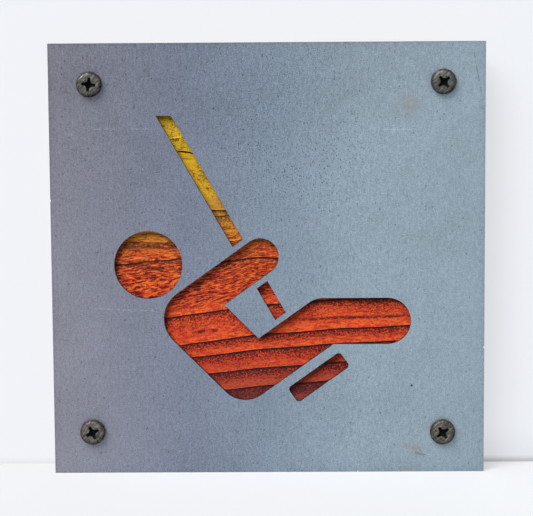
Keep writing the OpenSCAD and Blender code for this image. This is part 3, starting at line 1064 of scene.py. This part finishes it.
class SIGN_OT_hanger_screws(bpy.types.Operator):
    """Models a countersunk screw and sets the two that hold the hanger"""

    bl_idname = "sign.hanger_screws"
    bl_label = "Hanger Screws"

    def execute(self, context):
        look = context.scene.sign_hanger
        low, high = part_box(HANGER_SCREWS[0])
        radius = (high.x - low.x) / 2
        shank = radius * 0.53
        sink = radius - shank
        length = high.y - low.y - sink
        profile = [
            (shank, 0), (shank, 0.02 * MM), (radius * 0.97, sink - 0.08 * MM), (radius, sink - 0.03 * MM),
            (radius * 0.985, sink), (radius * 0.6, sink), (radius * 0.3, sink),
        ]
        screw = threaded_screw("countersunk_screw", profile, length, look.thread_pitch, look.thread_depth)
        cut(screw, "DIFFERENCE", cross_cutter(sink, radius * 0.5, radius * 0.2, radius * 0.38))
        soften(screw, SCREW_EDGE)
        material = bright_zinc("Screw Zinc", look)
        seats = box_middles(HANGER_SCREWS, high.y - sink)
        screws = set_screws("hanger_screws", screw, seats, HANGER_SCREW_TURNS, math.radians(-90), material)
        dress(screws, material, "hanger_steel", *HANGER_SCREWS)
        return {"FINISHED"}


def bright_zinc(name, look):
    """Zinc plating with a soft spangle and hair scratches."""
    finish = Finish(name)
    spangle = finish.node(
        "ShaderNodeTexVoronoi", inputs={"Vector": finish.place, "Scale": 0.7, "Randomness": 1.0}
    )
    flake = finish.split(spangle.outputs["Color"])[0]
    haze = finish.noise(finish.place, 0.35, 3, 0.6)
    hairs = finish.grain(finish.x * 0.5, finish.y * 4, finish.z * 6, 2, 0.7)
    tint = finish.scale(look.zinc, 0.92 + 0.08 * (flake - 0.5) + 0.25 * (haze - 0.5) + 0.2 * (hairs - 0.5))
    rough = (look.roughness + 0.12 * (flake - 0.5) + 0.3 * (haze - 0.5)).clamped()
    return finish.surface(
        normal=finish.bump(hairs, 0.02, 0.5), Base_Color=tint, Roughness=rough, Metallic=0.9
    )


# Wall pads

class SIGN_OT_pads(bpy.types.Operator):
    """Makes the four felt pads with their loose fibres"""

    bl_idname = "sign.pads"
    bl_label = "Wall Pads"

    def execute(self, context):
        look = context.scene.sign_pads
        low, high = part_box(WALL_PADS[0])
        radius, thickness = (high.x - low.x) / 2, high.y - low.y
        material = felt(look)
        pads = add_fibres(felt_discs(look, radius, thickness), look, radius, material)
        dress(pads, material, "felt", *WALL_PADS)
        return {"FINISHED"}


def felt_discs(look, radius, thickness):
    """Four punched felt discs, a little uneven, with room for their fibres inside the pads' real size."""
    rng = np.random.default_rng(look.seed)
    sides = 72
    angle = full_turn(sides)
    body_radius, body_thickness = radius - 2 * look.fibre_radius, thickness - 3 * look.fibre_radius
    profile = ((0.5, 0), (0.97, 0), (1, 0.12), (1, 0.55), (0.985, 0.85), (0.95, 0.97), (0.85, 0.99), (0.4, 1))
    points, faces = [], []
    for centre in box_middles(WALL_PADS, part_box(WALL_PADS[0])[0].y):
        ragged = 1 - 0.012 * rng.random(sides)
        rows = []
        for reach, height in profile:
            dent = 1 - (0.03 * rng.random(sides) if height > 0.9 else 0)
            rows.append(np.stack([
                body_radius * reach * ragged * np.cos(angle),
                body_thickness * height * dent * np.ones(sides),
                -body_radius * reach * ragged * np.sin(angle),
            ], -1) + centre)
        disc_points, disc_faces = lathe(rows)
        start = len(points)
        points += list(disc_points)
        faces += [[start + i for i in face] for face in disc_faces]
    return mesh_piece("felt_pads", points, faces)


def add_fibres(pads, look, radius, material):
    """Lays short bent fibres over the pads' backs."""
    group, sockets = node_group("Loose Fibres", (
        ("Geometry", "Geometry"), ("Density", "Float"), ("Seed", "Int"),
        ("Length", "Float"), ("Radius", "Float"), ("Material", "Material"),
    ))
    tree = Tree(group)
    given = tree.node("NodeGroupInput").outputs
    normal = tree.node("GeometryNodeInputNormal")
    shown = tree.split(normal)[1].above(0.97)
    spots = tree.node(
        "GeometryNodeDistributePointsOnFaces",
        inputs={
            "Mesh": given["Geometry"], "Selection": shown, "Density": given["Density"], "Seed": given["Seed"],
        },
    )
    reach = Wire(tree, given["Length"])
    curve = tree.node(
        "GeometryNodeCurveQuadraticBezier",
        inputs={
            "Resolution": 4, "Start": tree.join(x=reach * -0.5), "Middle": tree.join(y=reach * 0.45),
            "End": tree.join(x=reach * 0.5),
        },
    )
    ring = tree.node("GeometryNodeCurvePrimitiveCircle", inputs={"Resolution": 4, "Radius": given["Radius"]})
    fibre = tree.node(
        "GeometryNodeCurveToMesh", inputs={"Curve": curve, "Profile Curve": ring, "Fill Caps": True}
    )
    chance = tree.node(
        "FunctionNodeRandomValue", {"data_type": "FLOAT"}, {2: 0.0, 3: 2 * math.pi, "Seed": given["Seed"]}
    )
    turned = tree.node(
        "FunctionNodeRotateRotation",
        {"rotation_space": "LOCAL"},
        {0: spots.outputs["Rotation"], 1: tree.rotation(z=chance.outputs[1])},
    )
    copies = tree.node(
        "GeometryNodeInstanceOnPoints",
        inputs={"Points": spots.outputs["Points"], "Instance": fibre, "Rotation": turned},
    )
    joined = tree.node("GeometryNodeJoinGeometry", inputs={0: copies})
    group.links.new(given["Geometry"], joined.inputs[0])
    finish_group(tree, joined, given["Material"])
    return run_group(pads, group, sockets, {
        "Density": look.fibres / (math.pi * radius ** 2), "Seed": look.seed, "Length": look.fibre_length,
        "Radius": look.fibre_radius, "Material": material,
    })


def felt(look):
    """Grey felt with a mottled, woolly surface."""
    finish = Finish("Felt")
    wool = finish.noise(finish.place, 3.5, 4, 0.75, 1.5)
    tufts = finish.noise(finish.place, 0.9, 3, 0.6)
    tint = finish.scale(look.felt, 1 + 1.1 * (wool - 0.5) + 0.5 * (tufts - 0.5))
    return finish.surface(
        normal=finish.bump(wool, 0.25), Base_Color=tint, Roughness=0.95, Sheen_Weight=0.3
    )


# Stage

# How far the floor and wall reach, and the camera sees, in metres
STAGE_REACH, SIGHT = 12, 50
# Directions of the lamps' light
KEY_AIM, FILL_AIM = (0.5, 0.72, -0.87), (-0.2, -1, 0)


class SIGN_OT_stage(bpy.types.Operator):
    """Sets up the floor, the wall, the light and the camera"""

    bl_idname = "sign.stage"
    bl_label = "Stage"

    def execute(self, context):
        look = context.scene.sign_stage
        scene = context.scene
        scene.view_settings.view_transform = "Standard"
        add_camera(scene, look)
        add_light(scene, look)
        back = max(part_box(node)[1].y for node in WALL_PADS)
        far = STAGE_REACH
        corners = [(-far, -far, 0), (far, -far, 0), (far, far, 0), (-far, far, 0)]
        floor = backdrop("floor", corners, plain("Floor", look.floor, look.floor_glow))
        corners = [(-far, back, 0), (far, back, 0), (far, back, far), (-far, back, far)]
        wall = backdrop("wall", corners, plain("Wall", look.wall, look.wall_glow, wall_foot_shade))
        wall.visible_diffuse = False
        wall.visible_shadow = False
        return {"FINISHED"}


def backdrop(name, corners, material):
    sheet = mesh_piece(name, corners, [(0, 1, 2, 3)])
    sheet.data.materials.append(material)
    return sheet


def wall_foot_shade(finish):
    """Painted shade on the wall: darker near the floor, darkest to the right of the sign."""
    right = finish.x.rise(60, 78)
    return 1 - finish.z.rise(2.8, 0) * (0.12 + 0.3 * right) - 0.1 * right * finish.z.rise(14, 2)


def plain(name, tint, glow, painted_shading=lambda finish: 1):
    """A matt surface that is a little brighter to look at than it lights, and clear from behind."""
    finish = Finish(name)
    seen = finish.looked_at() * painted_shading(finish)
    shader = finish.node(
        "ShaderNodeBsdfPrincipled",
        inputs={
            "Base Color": tint, "Roughness": 0.8, "Specular IOR Level": 0.2,
            "Emission Color": finish.scale(glow, seen), "Emission Strength": 1.0,
        },
    )
    clear = finish.node("ShaderNodeBsdfTransparent")
    side = finish.node("ShaderNodeNewGeometry")
    both = finish.node("ShaderNodeMixShader", inputs={0: side.outputs["Backfacing"], 1: shader, 2: clear})
    finish.node("ShaderNodeOutputMaterial", inputs={"Surface": both})
    return finish.material


def add_camera(scene, look):
    data = bpy.data.cameras.new("camera")
    data.lens = look.lens
    data.clip_end = SIGHT
    camera = bpy.data.objects.new("camera", data)
    scene.collection.objects.link(camera)
    turn = Matrix.Rotation(look.camera_yaw, 3, "Z") @ Matrix.Rotation(look.camera_roll, 3, "Y")
    turn = turn @ Matrix.Rotation(look.camera_pitch, 3, "X")
    image_axes = Matrix(((1, 0, 0), (0, 0, -1), (0, 1, 0)))
    blender_axes = Matrix.Diagonal((1, -1, -1))
    camera_turn = (turn @ image_axes).transposed() @ blender_axes
    place = Matrix.Translation((look.camera_right, -look.camera_away, look.camera_height))
    camera.matrix_world = place @ camera_turn.to_4x4()
    scene.camera = camera


def add_light(scene, look):
    """A wide soft lamp at the upper left front, a weak one behind, and surroundings that look white."""
    for name, strength, aim in (("key", look.lamp, KEY_AIM), ("fill", look.fill, FILL_AIM)):
        data = bpy.data.lights.new(name, "SUN")
        data.energy = strength
        data.angle = look.lamp_spread
        lamp = bpy.data.objects.new(name, data)
        scene.collection.objects.link(lamp)
        lamp.rotation_mode = "QUATERNION"
        lamp.rotation_quaternion = Vector(aim).to_track_quat("-Z", "Y")
    world = bpy.data.worlds.new("surroundings")
    world.use_nodes = True
    scene.world = world
    tree = Tree(world.node_tree)
    strength = look.ambient + (1 - look.ambient) * tree.looked_at()
    light = tree.node("ShaderNodeBackground", inputs={"Color": (1, 1, 1), "Strength": strength})
    tree.node("ShaderNodeOutputWorld", inputs={"Surface": light})


class SIGN_PT_panel(bpy.types.Panel):
    """Lists the sign's pieces and their sizes and colours"""

    bl_idname = "SIGN_PT_panel"
    bl_label = "Silhouette Sign"
    bl_space_type = "VIEW_3D"
    bl_region_type = "UI"
    bl_category = "Sign"

    def draw(self, context):
        for operators, group in PANEL_ROWS:
            box = self.layout.box()
            for operator in operators:
                box.operator(operator.bl_idname)
            settings = getattr(context.scene, group)
            for name in settings.bl_rna.properties.keys():
                if name not in ("rna_type", "name"):
                    box.prop(settings, name)


SETTINGS = {
    "sign_plate": SIGN_PG_plate,
    "sign_board": SIGN_PG_board,
    "sign_screws": SIGN_PG_screws,
    "sign_hanger": SIGN_PG_hanger,
    "sign_pads": SIGN_PG_pads,
    "sign_stage": SIGN_PG_stage,
}
PANEL_ROWS = (
    ((SIGN_OT_plate,), "sign_plate"),
    ((SIGN_OT_board,), "sign_board"),
    ((SIGN_OT_face_screws,), "sign_screws"),
    ((SIGN_OT_hanger, SIGN_OT_hanger_screws), "sign_hanger"),
    ((SIGN_OT_pads,), "sign_pads"),
    ((SIGN_OT_stage,), "sign_stage"),
)
CLASSES = (*SETTINGS.values(), *(o for operators, _ in PANEL_ROWS for o in operators), SIGN_PT_panel)


def register():
    for cls in CLASSES:
        bpy.utils.register_class(cls)
    for name, group in SETTINGS.items():
        setattr(bpy.types.Scene, name, PointerProperty(type=group))


def unregister():
    for name in SETTINGS:
        delattr(bpy.types.Scene, name)
    for cls in reversed(CLASSES):
        bpy.utils.unregister_class(cls)


def main():
    register()
    bpy.ops.sign.stage()
    bpy.ops.sign.plate()
    bpy.ops.sign.board()
    bpy.ops.sign.face_screws()
    bpy.ops.sign.hanger()
    bpy.ops.sign.hanger_screws()
    bpy.ops.sign.pads()


if __name__ == "__main__":
    main()
